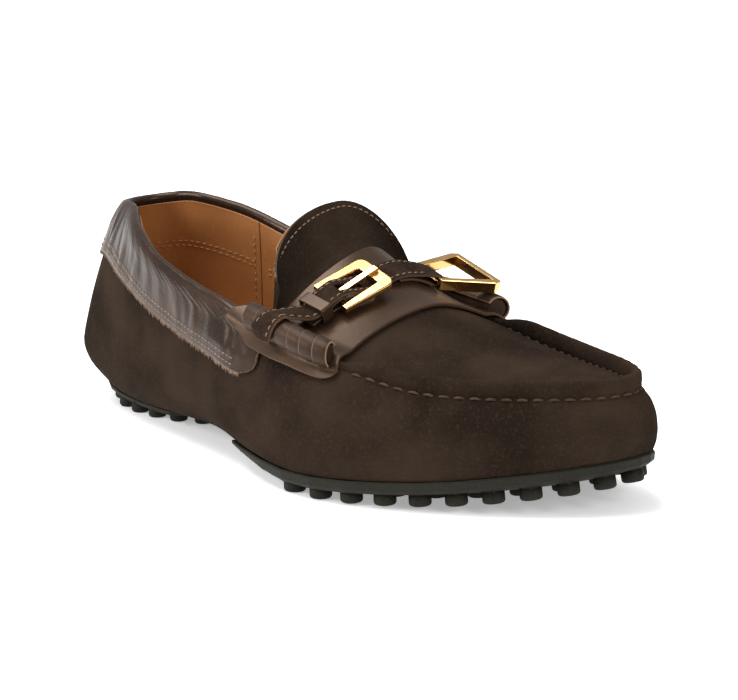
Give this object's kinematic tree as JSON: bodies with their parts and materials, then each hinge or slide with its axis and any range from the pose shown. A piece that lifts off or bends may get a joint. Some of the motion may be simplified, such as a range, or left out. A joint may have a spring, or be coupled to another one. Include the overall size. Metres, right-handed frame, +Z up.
{
  "type": "moccasin",
  "caption": "Low slip-on driving shoe with a pinched apron seam, a strapped saddle with a small buckle and a ring, and a rubber sole of round nubs.",
  "frame": {"origin": "centre of the bounding box on the ground", "axes": "+X towards the toe, -Y towards the outer side of the foot, +Z up"},
  "size_m": [0.2812, 0.107, 0.0953],
  "materials": {
    "suede": "matt suede, dark brown",
    "smooth_leather": "smooth, satin",
    "cuff_leather": "glossy, creased",
    "strap_suede": "brushed, matt",
    "lace_leather": "satin, raw edges",
    "tan_lining": "soft, unlined side tan",
    "rubber": "matt, dark grey-brown",
    "gold": "polished gold colour",
    "foam": "open foam",
    "board": "pressed fibre board"
  },
  "bodies": {
    "shoe": {"upper_wrap": "suede", "apron": "suede", "back_strip": "suede", "tongue_lining": "tan_lining", "lining_lateral": "tan_lining", "lining_medial": "tan_lining", "heel_lining": "tan_lining", "vamp_lining": "tan_lining", "sock_liner": "tan_lining", "heel_counter": "board", "insole_board": "board", "footbed_foam": "foam", "collar_padding": "foam", "collar_band": "cuff_leather", "saddle": "smooth_leather", "lateral_roll": "lace_leather", "medial_roll": "lace_leather", "overstrap": "strap_suede", "buckle_strap": "strap_suede", "forefoot_outsole": "rubber", "heel_outsole": "rubber"},
    "buckle": {"buckle_frame": "gold"},
    "prong": {"buckle_prong": "gold"},
    "keeper": {"strap_keeper": "smooth_leather"},
    "ring": {"ring": "gold"}
  },
  "joints": [
    {"name": "buckle_hinge", "type": "hinge", "parent": "shoe", "child": "buckle", "pos_m": [0.02962, -0.02334, 0.06785], "axis": [0.9432, 0.0021, -0.3323], "range_deg": [0, 14]},
    {"name": "prong_hinge", "type": "hinge", "parent": "buckle", "child": "prong", "pos_m": [0.02962, -0.02334, 0.06785], "axis": [0.9432, 0.0021, -0.3323], "range_deg": [0, 22]},
    {"name": "keeper_slide", "type": "slide", "parent": "shoe", "child": "keeper", "axis": [0.0742, 0.8965, 0.4368], "range_m": [-0.0011, 0.0002]},
    {"name": "ring_hinge", "type": "hinge", "parent": "shoe", "child": "ring", "pos_m": [0.03184, 0.02449, 0.06881], "axis": [0.9623, -0.1067, -0.2501], "range_deg": [0, 146]}
  ]
}
